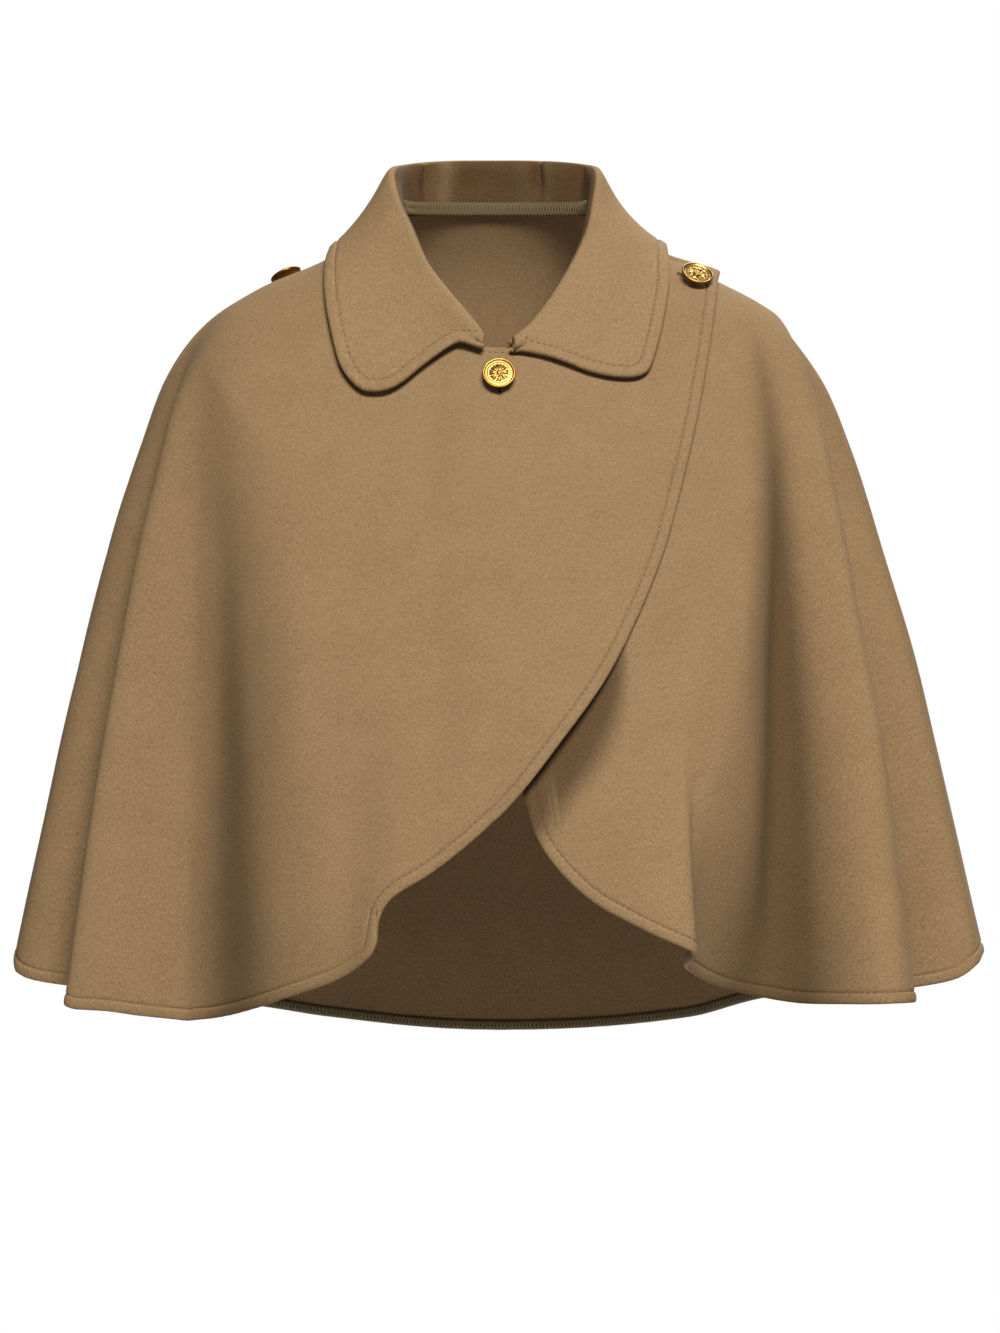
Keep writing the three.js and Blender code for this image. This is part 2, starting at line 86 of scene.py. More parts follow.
# Each fold's angle at its top and at the hem, half-width in degrees, depth outward and slide to the
# side in millimetres, and the place down the cape where it starts
FOLDS = {
    "right_edge_ridge": (-9, -10, 10, 10, -8, 0.55),
    "right_edge_gully": (-17, -20, 11, -9, 8, 0.55),
    "right_front_trough": (-67, -41, 25.5, -65, -12, 0.33),
    "right_arm_ridge": (-88, -52.5, 11.5, 18, -6, 0.32),
    "right_arm_gully": (-94.5, -70.5, 12, -39, 7, 0.21),
    "left_edge_ridge": (37, 15, 14, 28, 5, 0.5),
    "left_edge_gully": (35, 26.5, 8.5, -5, -32, 0.43),
    "left_front_trough": (87, 32.5, 14, -50, 3, 0.25),
    "left_arm_ridge": (97, 48.5, 8.5, 16, 0, 0.28),
    "left_arm_gully": (96, 65.5, 14, -66, 6, 0.29),
    "left_back_gully": (104, 114, 14, -18, 4, 0.35),
    "left_back_ridge": (118, 130, 12, 11, 0, 0.38),
    "left_blade_gully": (140, 148, 14, -11, 0, 0.5),
    "back_ridge": (174, 176, 17, 4, 0, 0.55),
    "right_blade_gully": (-144, -151, 15, -9, 0, 0.45),
    "right_back_ridge": (-120, -132, 12, 12, 0, 0.36),
    "right_back_gully": (-105, -115, 14, -19, -4, 0.32),
}
FOLD_GROWTH = 0.95
FOLD_FAN = 0.45

# Painted shade in the deepest folds, darkening the cloth's colour there: its angles and half-width as a
# fold's, amount, start
PAINTED_FOLD_SHADE = {
    "right_front_trough": (-66, -29.5, 9, 0.42, 0.33),
    "left_front_trough": (87, 34.5, 12, 0.95, 0.21),
    "left_arm_gully": (96, 65.5, 8, 0.3, 0.29),
    "right_arm_gully": (-94.5, -70.5, 8, 0.25, 0.21),
    "left_back_gully": (104, 114, 10, 0.35, 0.35),
    "left_blade_gully": (140, 148, 10, 0.3, 0.5),
    "right_blade_gully": (-144, -151, 11, 0.25, 0.45),
    "right_back_gully": (-105, -115, 10, 0.35, 0.32),
}

# Panel outlines as places on the cape: angle round it, and down it
WRAP_EDGE = [
    (-90, 0.99), (-84, 0.992), (-78, 0.999), (-70, 1), (-62, 1), (-57, 1), (-54, 0.998), (-51, 0.997),
    (-48, 0.999), (-45, 1), (-42, 1), (-39, 0.995), (-36, 0.989), (-33, 0.981), (-30, 0.971), (-27, 0.958),
    (-24, 0.942), (-20, 0.922), (-15.6, 0.898), (-12.8, 0.878), (-11.9, 0.858), (-12, 0.834),
    (-10.7, 0.805), (-6.3, 0.766), (-1.6, 0.714), (2.3, 0.663), (8.3, 0.589), (13.9, 0.529), (20.7, 0.46),
    (27.5, 0.4), (35.1, 0.337), (42.1, 0.293), (51.4, 0.25), (63.8, 0.213), (77.5, 0.191), (87, 0.187),
]
WRAP_NECK = [(-90, 0), (-45, 0), (-10, 0), (4, 0), (16, 0.02), (45, 0.034), (87, 0.036)]
UNDER_EDGE = [
    (2.9, 0.64), (3.1, 0.678), (4, 0.716), (6.2, 0.758), (10, 0.806), (13.5, 0.836), (16.5, 0.858),
    (19.5, 0.876), (21.5, 0.886), (24.5, 0.9), (26, 0.908), (27, 0.912), (28.5, 0.922), (30, 0.936),
    (32, 0.951), (34, 0.96), (36, 0.966), (39, 0.972), (44, 0.976), (48, 0.979), (52, 0.984), (56, 0.991),
    (60, 0.998), (66, 1), (70, 1), (75, 0.995), (79, 0.984), (84, 0.982), (90, 0.986),
]
UNDER_NECK = [(-11, 0), (40, 0), (90, 0)]
# Painted shadow of the wrapped front on the strip of the under layer beside its edge: its widths, where it
# widens, and how dark it is
WRAP_SHADOW_WIDTH = (2, 26)
WRAP_SHADOW_WIDENS = (235, 330)  # from this far to this far below the neck
PAINTED_WRAP_SHADOW = 0.8
BACK_EDGE = [
    (90, 0.986), (104, 0.975), (120, 0.972), (147, 0.977), (158, 0.991), (180, 1), (200, 0.989),
    (210, 0.983), (240, 0.983), (270, 0.99),
]
BACK_NECK = [(90, 0), (180, 0), (270, 0)]

# The collar's seam as places on the cape, its roll line in space, and its outer edge as places on the
# cape with how far it stands off
COLLAR_SEAM = [(7, 0), (45, 0), (90, 0), (180, 0), (270, 0), (315, 0), (353, 0)]
COLLAR_ROLL = [
    (11, -76, -70), (23, -68, -60), (41, -54, -35), (57, -30, -3), (62, -15, 19), (63.5, 6, 39),
    (56, 29, 45), (33, 42, 48.5), (0, 48, 49.5), (-33, 42, 48.5), (-56, 29, 45), (-64.5, 6, 39),
    (-61, -15, 19), (-54, -26, 3), (-43.5, -44, -21), (-30.5, -57, -39), (-20, -67, -52), (-7, -76, -68),
]
COLLAR_EDGE = [
    (7, 0.011, 1.7), (13.1, 0.02, 2.7), (21.4, 0.048, 2.7), (27.3, 0.081, 2.7), (32.2, 0.118, 1.7),
    (36.9, 0.151, 1.7), (40.7, 0.172, 1.7), (43.6, 0.177, 1.7), (49.1, 0.165, 1.7), (58, 0.145, 1.7),
    (66.3, 0.13, 1.7), (77, 0.112, 0.6), (90, 0.1, 0.3), (120, 0.108, 1.1), (180, 0.12, 1.1),
    (240, 0.106, 1.1), (270, 0.095, 1), (281, 0.108, 1), (289.9, 0.122, 1.1), (295.1, 0.131, 1.6),
    (302.9, 0.146, 2.1), (308.7, 0.159, 2.1), (315.1, 0.174, 2.1), (320.3, 0.177, 2.1), (323.8, 0.171, 2.1),
    (328.6, 0.141, 3.1), (333.1, 0.077, 4.1), (336.7, 0.04, 5.1), (341.1, 0.017, 5.1), (350, 0.01, 5.1),
    (354.1, 0.009, 5.1),
]
# Painted shade on the collar's stand inside the neck
PAINTED_STAND_SHADE = 0.87  # how dark the stand is inside the neck
UPRIGHT = 3.2  # how far the stand rises straight from its seam
ROLL_RADIUS = 3.4
FALL_BOW = 2.5  # how far the fall bends in between its roll and its edge
COLLAR_COLUMNS = 300
COLLAR_ROWS = 64
NAP_AROUND_COLLAR = 420  # millimetres of nap round the collar, and across it
NAP_ACROSS_COLLAR = 115
# How the wrapped front lifts off the layer below: where it starts and lies in full, its swing at the
# hem and between which heights that grows, its buttoned corner, and where it ends towards the back
WRAP = dict(
    start=-42, full=-12, swing=9, swingTop=-215, swingBottom=-350,
    cornerLift=3.5, cornerStart=92, backFade=30,
)

# Soft creases pressed into the standing part of the collar: angle, half-width in degrees, depth
STAND_CREASES = [(229, 5, 4.6), (152, 4.5, 5.0), (117, 7, 3.6), (190, 14, 1.2)]
# Painted highlights on the stand beside a crease, where it would catch light: angle, half-width in degrees,
# amount
PAINTED_STAND_HIGHLIGHTS = [(216, 8, 0.42), (162, 6, 0.17), (145, 4.5, 0.28)]
# Painted shade along the stand's creases
PAINTED_CREASE_SHADE = 0.06  # for each millimetre of a crease's depth
STAND_PART = 0.42  # the share of the collar's section that stands

# Buttons: angle, place down the cape, and how many layers of the wrap they lie on
BUTTONS = {
    "neck_button": (1.5, 0.053, 1),
    "left_shoulder_button": (74.7, 0.159, 1),
    "right_shoulder_button": (258, 0.174, 0),
}
BUTTON_RADIUS = 10.0
SHANK_LENGTH = 2.6
BUTTON_HEIGHT = 3.4
BUTTON_SIDES = 112
BUTTON_RIM = 1.4
BUTTON_DISH = 0.9
BUTTON_SIDE = [(9.95, 1.0), (9.75, 1.5), (9.4, 1.9), (6.5, 2.6)]  # radius, and depth below the face
SHANK_RADIUS = 2.4
PETALS = 8
BEADS = 36

LEVEL = np.array([1, 1, 0])  # takes the height out of a direction
UP = np.array([0, 0, 1.0])


# Smooth curves through tables


def along(xs, ys, at):
    """The value of ys at places xs, on one smooth curve, for an array of places."""
    xs = np.asarray(xs, float)
    ys = np.asarray(ys, float)
    k = np.arange(len(xs))
    before = np.maximum(k - 1, 0)
    after = np.minimum(k + 1, len(xs) - 1)
    slopes = (ys[after] - ys[before]) / (xs[after] - xs[before])
    at = np.asarray(at, float)
    k = np.clip(np.searchsorted(xs, at, side="left") - 1, 0, len(xs) - 2)
    span = xs[k + 1] - xs[k]
    u = (at - xs[k]) / span
    step = ys[k + 1] - ys[k]
    a = slopes[k] * span
    b = slopes[k + 1] * span
    return ys[k] + u * a + u**2 * (3 * step - 2 * a - b) + u**3 * (a + b - 2 * step)


def ease(value, low, high):
    """0 below low and 1 above high, smoothly."""
    t = np.clip((value - low) / (high - low), 0, 1)
    return t * t * (3 - 2 * t)


def unit(vectors):
    """Each vector at length 1."""
    return vectors / np.maximum(np.linalg.norm(vectors, axis=-1, keepdims=True), 1e-9)


def turn_to(angle, start):
    """The turn in degrees from start to angle, the shorter way round."""
    return (np.asarray(angle) - start + 180) % 360 - 180


# The cape's cloth


def ring(column, down):
    """One column of the ring table at places down the cape."""
    k = RING_COLUMNS.index(column)
    return along([row[0] for row in RINGS], [row[k] for row in RINGS], down)


def form_point(angle, down):
    """Points of the smooth form, before the folds."""
    s = np.sin(np.radians(angle))
    c = np.cos(np.radians(angle))
    power = 2 / ring("square", down)
    depth = np.where(c > 0, -ring("frontY", down), ring("backY", down))
    end = np.where(c > 0, ring("frontZ", down), ring("backZ", down))
    x = ring("midX", down) + ring("sideX", down) * np.sign(s) * np.abs(s) ** power
    y = -np.sign(c) * depth * np.abs(c) ** power
    side = ring("sideZ", down)
    z = side + (end - side) * np.abs(c) ** ring("dip", down)
    return np.stack([x, y, z], -1)


def soft_relief(angle, down):
    """Slight unevenness of hanging wool, in millimetres."""
    a = np.radians(angle)
    low = np.sin(3.1 * a + 7 * down + 0.6) * np.sin(2.3 * a - 9 * down + 1.9)
    high = np.sin(9.7 * a + 15 * down + 2.2) * np.sin(7.3 * a - 21 * down + 0.4)
    return (0.9 * low + 0.35 * high) * ease(down, 0.15, 0.5)


def cloth_point(angle, down):
    """Points on the middle of the cape's cloth, folds included."""
    angle, down = np.broadcast_arrays(np.asarray(angle, float), np.asarray(down, float))
    point = form_point(angle, down)
    width = ring("sideX", down)
    depth = np.where(point[..., 1] < 0, ring("frontY", down), ring("backY", down))
    outward = unit(np.stack([point[..., 0] / width**2, point[..., 1] / depth**2, np.zeros_like(width)], -1))
    around = np.stack([-outward[..., 1], outward[..., 0], np.zeros_like(width)], -1)
    point = point + outward * soft_relief(angle, down)[..., None]
    for top, hem, half, out, slide, start in FOLDS.values():
        way = np.clip((down - start) / (1 - start), 0, None)
        crest = top + (hem - top) * way**FOLD_FAN
        away = np.minimum(np.abs(turn_to(angle, crest)) / half, 1)
        bell = way**FOLD_GROWTH * np.cos(away * math.pi / 2) ** 2
        point = point + outward * (out * bell)[..., None] + around * (slide * bell)[..., None]
    return point


def painted_fold_shade(angle, down):
    """How much painted shade darkens the cloth in the folds, from 0 to 0.72."""
    painted_shade = np.zeros(np.broadcast(angle, down).shape)
    for top, hem, half, amount, start in PAINTED_FOLD_SHADE.values():
        way = np.clip((down - start) / (1 - start), 0, None)
        crest = top + (hem - top) * way**FOLD_FAN
        away = np.minimum(np.abs(turn_to(angle, crest)) / (half * (0.55 + 0.45 * way)), 1)
        painted_shade = painted_shade + amount * ease(way, 0, 0.55) * np.cos(away * math.pi / 2) ** 2
    return np.clip(painted_shade, 0, 0.72)


def cloth_frame(angle, down):
    """The cloth's outward normal and the direction down it."""
    step = 0.004
    low = np.maximum(down - step, 0)
    high = np.minimum(down + step, 1)
    around = cloth_point(angle + 0.4, down) - cloth_point(angle - 0.4, down)
    fall = unit(cloth_point(angle, high) - cloth_point(angle, low))
    return unit(np.cross(fall, around)), fall


def wrap_lift(angle, down):
    """How far the wrapped front lies outside the layer below it."""
    at = form_point(angle, down)
    x, y, z = at[..., 0], at[..., 1], at[..., 2]
    lie = (CLOTH + LAYER_GAP) * ease(x, WRAP["start"], WRAP["full"])
    swing = WRAP["swing"] * ease(x, WRAP["start"], 60) * ease(-z, -WRAP["swingTop"], -WRAP["swingBottom"])
    corner = WRAP["cornerLift"] * ease(x, WRAP["cornerStart"], 136)
    return (lie + swing + corner) * (1 - ease(y, 0, WRAP["backFade"]))


def no_lift(angle, down):
    """The lift of a layer that lies on the form itself."""
    return np.zeros(np.broadcast(angle, down).shape)


class Line:
    """A line of places on the cape, by the share of its length."""

    def __init__(self, rows):
        self.columns = np.array(rows, float).T
        points = form_point(self.columns[0], self.columns[1])
        steps = np.linalg.norm(np.diff(points, axis=0), axis=1)
        self.run = np.concatenate([[0], np.cumsum(steps)]) / steps.sum()
        self.length = steps.sum()

    def at(self, run, column):
        return along(self.run, self.columns[column], run)


# Distances on a cloth, measured to its edges


def nearest(lines, points):
    """Distance from each point to the nearest of the lines' points."""
    samples = np.concatenate([line.reshape(-1, 3) for line in lines])
    tree = KDTree(len(samples))
    for k, sample in enumerate(samples):
        tree.insert(sample, k)
    tree.balance()
    flat = points.reshape(-1, 3)
    return np.array([tree.find(point)[2] for point in flat]).reshape(points.shape[:-1])


# Steps in from an edge, in millimetres: round it, past a finished edge's stitches, and past a sewn edge
ROUND_STEPS = np.array([0, 0.25, 0.6, 1.1, 1.8])
EDGE_STEPS = np.concatenate([ROUND_STEPS, [2.8, 4, 5.1, 5.9, 6.4, 6.8, 7.2, 7.7, 8.6, 10, 12, 15, 19]])
SEWN_STEPS = np.concatenate([ROUND_STEPS, [3, 4.6]])
NUDGE = 1e-6  # keeps rising distances apart, so that they can be read backwards


def half_thickness(cloth, to_finished, to_sewn, inset):
    """Half the cloth's thickness: round at edges, puffed beside the stitches and pulled in under them."""
    half = cloth / 2
    puff = HEM_PUFF * ease(to_finished, 0.5, 2.5) * (1 - ease(to_finished, inset - 1.6, inset))
    dip = STITCH_DIP * np.exp(-(((to_finished - inset) / STITCH_DIP_WIDTH) ** 2))
    reach = np.clip(np.minimum(to_finished, to_sewn) / half, 0, 1)
    return (half + puff - dip) * np.sqrt(np.clip(1 - (1 - reach) ** 2, 0, 1))


# Meshes


def make_object(name, vertices, faces, material, uv=None, shade=None):
    """A piece of the scene from points in millimetres, with its nap's run and the painted shade on its
    cloth.
    """
    mesh = bpy.data.meshes.new(name)
    mesh.from_pydata((np.asarray(vertices) * MM).tolist(), [], [list(face) for face in faces])
    if uv is not None:
        layer = mesh.uv_layers.new(name="nap")
        loops = np.empty(len(mesh.loops), int)
        mesh.loops.foreach_get("vertex_index", loops)
        layer.data.foreach_set("uv", (np.asarray(uv)[loops] * MM).ravel())
    if shade is not None:
        values = mesh.attributes.new("painted_shade", "FLOAT", "POINT").data
        values.foreach_set("value", np.asarray(shade, np.float32))
    mesh.materials.append(material)
    mesh.shade_smooth()
    mesh.update()
    piece = bpy.data.objects.new(name, mesh)
    bpy.context.scene.collection.objects.link(piece)
    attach(piece, "root")
    return piece


def shell(name, middle, normal, half, material, uv, shade):
    """A closed cloth wall from a grid of middle points, meeting itself in round edges."""
    columns, rows = half.shape
    outer_index = np.arange(columns * rows).reshape(columns, rows)
    inner_index = outer_index.copy()
    inside = np.zeros((columns, rows), bool)
    inside[1:-1, 1:-1] = True
    inner_index[inside] = columns * rows + np.arange(inside.sum())
    edge_half = np.where(inside, half, 0)
    outer = middle + normal * edge_half[..., None]
    inner = (middle - normal * edge_half[..., None])[inside]
    vertices = np.concatenate([outer.reshape(-1, 3), inner])

    def quads(index, flip):
        a, b, c, d = index[:-1, :-1], index[:-1, 1:], index[1:, 1:], index[1:, :-1]
        order = (a, d, c, b) if flip else (a, b, c, d)
        return np.stack([corner.ravel() for corner in order], -1)

    faces = np.concatenate([quads(outer_index, False), quads(inner_index, True)])
    uvs = np.concatenate([uv.reshape(-1, 2), uv[inside]])
    shades = np.concatenate([shade.ravel(), np.zeros(inside.sum())])
    return make_object(name, vertices, faces, material, uvs, shades)


def strand_mesh(name, strands, radius, material, sides=5):
    """Threads, each a tube round a polyline, joined as one mesh."""
    vertices = []
    faces = []
    turns = (np.arange(sides) * 2 * math.pi / sides)[None, :, None]
    base = 0
    for points in strands:
        points = np.asarray(points, float)
        ahead = unit(np.gradient(points, axis=0))
        across = unit(np.cross(ahead, ahead[:, [1, 2, 0]] + 0.31))
        other = np.cross(ahead, across)
        count = len(points)
        taper = np.full(count, 1.0)
        taper[[0, -1]] = 0.55
        circle = across[:, None] * np.cos(turns) + other[:, None] * np.sin(turns)
        vertices.append((points[:, None] + circle * (radius * taper)[:, None, None]).reshape(-1, 3))
        index = base + np.arange(count * sides).reshape(count, sides)
        following = np.roll(index, -1, axis=1)
        quads = np.stack([index[:-1], following[:-1], following[1:], index[1:]], -1).reshape(-1, 4)
        faces.extend(quads.tolist())
        faces.append(index[0, ::-1].tolist())
        faces.append(index[-1].tolist())
        base += count * sides
    return make_object(name, np.concatenate(vertices), faces, material)


def resample(path, pitch):
    """The rows of a path at even steps along it."""
    steps = np.linalg.norm(np.diff(path, axis=0), axis=1)
    length = np.concatenate([[0], np.cumsum(steps)])
    count = max(int(length[-1] / pitch), 2)
    at = np.linspace(0, length[-1], count + 1)
    return np.stack([np.interp(at, length, path[:, k]) for k in range(path.shape[1])], -1)


def stitches(path, normals):
    """One strand for each stitch of a sewn row, both ends drawn into the cloth."""
    both = resample(np.concatenate([path, normals], 1), STITCH_SAMPLE)
    pitch = int(round(STITCH_PITCH / STITCH_SAMPLE))
    shown = int(round(STITCH_LENGTH / STITCH_SAMPLE))
    strands = []
    for start in range(0, len(both) - pitch, pitch):
        part = both[start : start + shown + 1]
        arch = np.sin(np.linspace(0, math.pi, len(part)))
        strands.append(part[:, :3] + part[:, 3:] * (STITCH_RISE * arch - STITCH_SINK)[:, None])
    return strands


# Materials


def new_material(name):
    material = bpy.data.materials.new(name)
    material.use_nodes = True
    nodes = material.node_tree.nodes
    return material, nodes, material.node_tree.links, nodes["Principled BSDF"]


def noise(nodes, links, coordinate, scale, detail, rough=0.5, stretch=None):
    texture = nodes.new("ShaderNodeTexNoise")
    texture.inputs["Scale"].default_value = scale
    texture.inputs["Detail"].default_value = detail
    texture.inputs["Roughness"].default_value = rough
    if stretch:
        mapping = nodes.new("ShaderNodeMapping")
        mapping.inputs["Scale"].default_value = stretch
        links.new(coordinate, mapping.inputs["Vector"])
        coordinate = mapping.outputs["Vector"]
    links.new(coordinate, texture.inputs["Vector"])
    return texture.outputs["Fac"]


def ramp(nodes, links, value, stops):
    colours = nodes.new("ShaderNodeValToRGB")
    while len(colours.color_ramp.elements) < len(stops):
        colours.color_ramp.elements.new(0.5)
    for element, (place, colour) in zip(colours.color_ramp.elements, stops):
        element.position = place
        element.color = (*colour, 1)
    links.new(value, colours.inputs["Fac"])
    return colours.outputs["Color"]


def ranged(nodes, links, value, source, target):
    node = nodes.new("ShaderNodeMapRange")
    node.inputs["From Min"].default_value, node.inputs["From Max"].default_value = source
    node.inputs["To Min"].default_value, node.inputs["To Max"].default_value = target
    links.new(value, node.inputs["Value"])
    return node.outputs["Result"]


def mix(nodes, links, kind, factor, a, b):
    node = nodes.new("ShaderNodeMix")
    node.data_type = "RGBA"
    node.blend_type = kind
    node.inputs["Factor"].default_value = factor
    links.new(a, node.inputs["A"])
    links.new(b, node.inputs["B"])
    return node.outputs["Result"]


def bump(nodes, links, height, distance, strength, below=None):
    node = nodes.new("ShaderNodeBump")
    node.inputs["Distance"].default_value = distance
    node.inputs["Strength"].default_value = strength
    links.new(height, node.inputs["Height"])
    if below is not None:
        links.new(below, node.inputs["Normal"])
    return node.outputs["Normal"]


# Painted shade: what the wool keeps of its colour deep in a fold and inside the collar's stand
PAINTED_FOLD_SHADE_TINT = (0.43, 0.415, 0.385)
PAINTED_STAND_SHADE_TINT = (0.33, 0.255, 0.20)


def wool_material(name, tint=1.0):
    """Brushed wool coating: mottled camel fibres that lie down the cloth, with a soft sheen, darkened by
    painted shade as far as the "hollow" attribute says."""
    material, nodes, links, shader = new_material(name)
    place = nodes.new("ShaderNodeTexCoord")
    objects = place.outputs["Object"]
    uv = place.outputs["UV"]
    fibre = noise(nodes, links, uv, 1, 3, 0.65, stretch=(1900, 520, 1))
    mottle = noise(nodes, links, objects, 620, 4, 0.7)
    cloud = noise(nodes, links, objects, 38, 3, 0.55)
    camel = [(0.28, (0.216, 0.134, 0.062)), (0.50, (0.283, 0.180, 0.087)), (0.74, (0.362, 0.242, 0.126))]
    camel = [(p, tuple(v * tint for v in c)) for p, c in camel]
    base = ramp(nodes, links, fibre, camel)
    grey = [(0.3, (0.72, 0.70, 0.67)), (0.7, (1.2, 1.2, 1.2))]
    speckle = ramp(nodes, links, mottle, grey)
    base = mix(nodes, links, "MULTIPLY", 0.7, base, speckle)
    soft = ramp(nodes, links, cloud, [(0.3, (0.95, 0.945, 0.93)), (0.7, (1.04, 1.04, 1.04))])
    base = mix(nodes, links, "MULTIPLY", 0.8, base, soft)
    # Painted shade: the cloth's colour darkened by the attribute, down to the fold tint and the stand tint
    painted_shade = nodes.new("ShaderNodeAttribute")
    painted_shade.attribute_name = "painted_shade"
    painted_shade_tints = [(0.0, (1, 1, 1)), (0.65, PAINTED_FOLD_SHADE_TINT), (1.0, PAINTED_STAND_SHADE_TINT)]
    depth = ramp(nodes, links, painted_shade.outputs["Fac"], painted_shade_tints)
    base = mix(nodes, links, "MULTIPLY", 1, base, depth)
    links.new(base, shader.inputs["Base Color"])
    height = noise(nodes, links, uv, 1, 4, 0.7, stretch=(1500, 700, 1))
    first = bump(nodes, links, mottle, 0.0004, 0.35)
    links.new(bump(nodes, links, height, 0.0003, 0.3, first), shader.inputs["Normal"])
    shader.inputs["Roughness"].default_value = 0.92
    shader.inputs["Specular IOR Level"].default_value = 0.18
    shader.inputs["Sheen Weight"].default_value = 0.07
    shader.inputs["Sheen Roughness"].default_value = 0.45
    shader.inputs["Sheen Tint"].default_value = (0.85, 0.68, 0.46, 1)
    return material


def thread_material(name, colour):
    """Twisted sewing thread."""
    material, nodes, links, shader = new_material(name)
    place = nodes.new("ShaderNodeTexCoord").outputs["Object"]
    twist = noise(nodes, links, place, 2600, 2)
    darker = tuple(v * 0.7 for v in colour)
    lighter = tuple(v * 1.25 for v in colour)
    links.new(ramp(nodes, links, twist, [(0.35, darker), (0.65, lighter)]), shader.inputs["Base Color"])
    links.new(bump(nodes, links, twist, 0.0002, 0.4), shader.inputs["Normal"])
    shader.inputs["Roughness"].default_value = 0.75
    return material


def gold_material():
    """Gold-plated button metal, darker in its hollows, with fine wear."""
    material, nodes, links, shader = new_material("button_gold")
    place = nodes.new("ShaderNodeTexCoord").outputs["Object"]
    pointiness = nodes.new("ShaderNodeNewGeometry").outputs["Pointiness"]
    hollows = [(0.46, (0.20, 0.085, 0.018)), (0.5, (0.60, 0.36, 0.085)), (0.55, (0.90, 0.64, 0.22))]
    base = ramp(nodes, links, pointiness, hollows)
    patina = noise(nodes, links, place, 900, 4)
    cloud = ramp(nodes, links, patina, [(0.3, (0.86, 0.82, 0.75)), (0.7, (1.0, 1.0, 1.0))])
    links.new(mix(nodes, links, "MULTIPLY", 0.7, base, cloud), shader.inputs["Base Color"])
    links.new(ranged(nodes, links, patina, (0, 1), (0.28, 0.48)), shader.inputs["Roughness"])
    links.new(bump(nodes, links, patina, 0.0001, 0.15), shader.inputs["Normal"])
    shader.inputs["Metallic"].default_value = 1
    return material


# Panels


Panel = namedtuple("Panel", "piece surface middle normal half to_finished")
EDGE_SAMPLES = 1600
FINE_ROWS = 260
NAP_PER_RADIAN = 230  # millimetres of nap round the cape, and down it
NAP_DOWN = 600


def panel(name, neck_rows, edge_rows, columns, rows, lift, sewn_sides, finished_sides=(), shadow_casting_edge=None):
    """A panel's shell, whose columns run from its neckline to its lower edge. Returns the piece and what
    stitch rows need: the function from run and share to the cloth, and the grids of its middle."""
    neck = Line(neck_rows)
    edge = Line(edge_rows)

    def spot(run, share):
        angle = neck.at(run, 0) + (edge.at(run, 0) - neck.at(run, 0)) * share
        down = np.clip(neck.at(run, 1) + (edge.at(run, 1) - neck.at(run, 1)) * share, 0, 1)
        return angle, down

    def surface(run, share):
        angle, down = spot(run, share)
        normal = cloth_frame(angle, down)[0]
        return cloth_point(angle, down) + normal * lift(angle, down)[..., None], normal

    ends = EDGE_STEPS[:-3] / edge.length
    runs = np.concatenate([ends, np.linspace(ends[-1], 1 - ends[-1], columns)[1:-1], 1 - ends[::-1]])
    dense = np.linspace(0, 1, EDGE_SAMPLES)
    lower = surface(dense, np.ones_like(dense))[0]
    upper = surface(dense, np.zeros_like(dense))[0]
    sides = {0: surface(np.zeros_like(dense), dense)[0], 1: surface(np.ones_like(dense), dense)[0]}
    finished = [lower] + [sides[k] for k in finished_sides]
    sewn = [upper] + [sides[k] for k in sewn_sides]

    fine = np.linspace(0, 1, FINE_ROWS)
    points = surface(runs[:, None], fine[None])[0]
    to_lower = nearest([lower], points)
    last = EDGE_STEPS[-1]
    shares = np.empty((len(runs), len(EDGE_STEPS) + rows + len(SEWN_STEPS) - 2))
    for k in range(len(runs)):
        climb = np.maximum.accumulate(to_lower[k, ::-1] + np.arange(len(fine)) * NUDGE)
        length = np.linalg.norm(np.diff(points[k], axis=0), axis=1).sum()
        reach = min(1.0, 0.8 * climb[-1] / last)
        near = np.interp(EDGE_STEPS * reach, climb, fine[::-1])
        top = SEWN_STEPS / length
        between = np.linspace(top[-1], near[-1], rows)[1:-1]
        shares[k] = np.concatenate([top, between, near[::-1]])
    shares = np.clip(np.sort(shares, axis=1), 0, 1)

    middle, normal = surface(runs[:, None], shares)
    angle, down = spot(runs[:, None], shares)
    to_finished = nearest(finished, middle)
    to_sewn = nearest(sewn, middle)
    half = half_thickness(CLOTH, to_finished, to_sewn, STITCH_INSET)
    uv = np.stack([np.radians(angle) * NAP_PER_RADIAN, down * NAP_DOWN], -1)
    # Painted shade in the folds
    shade = painted_fold_shade(angle, down)
    # Painted shadow of the wrapped front on this layer, beside the wrapped edge
    if shadow_casting_edge is not None:
        width = WRAP_SHADOW_WIDTH[0] + WRAP_SHADOW_WIDTH[1] * ease(-middle[..., 2], *WRAP_SHADOW_WIDENS)
        in_wrap_shadow = 1 - ease(nearest([shadow_casting_edge], middle), width * 0.55, width * 1.25)
        shade = np.maximum(shade, PAINTED_WRAP_SHADOW * in_wrap_shadow)
    piece = shell(name, middle, normal, half, wool, uv, shade)
    return Panel(piece, surface, middle, normal, half, to_finished)


def inset_path(cloth, inset, side=1):
    """The line at a distance from the finished edge, on the cloth's outer (1) or inner (-1) face."""

    def between(grid, column, row, part):
        from_edge = grid[column, ::-1]
        return from_edge[row - 1] * (1 - part) + from_edge[row] * part

    path = []
    for column in range(len(cloth.middle)):
        distance = cloth.to_finished[column, ::-1]
        row = int(np.argmax(distance >= inset))
        if row == 0:
            continue
        part = (inset - distance[row - 1]) / max(distance[row] - distance[row - 1], NUDGE)
        out = unit(between(cloth.normal, column, row, part)) * side
        place = between(cloth.middle, column, row, part) + out * between(cloth.half, column, row, part)
        path.append(np.concatenate([place, out]))
    return np.array(path)


wool = wool_material("camel_wool")
collar_wool = wool_material("collar_wool", 1.05)
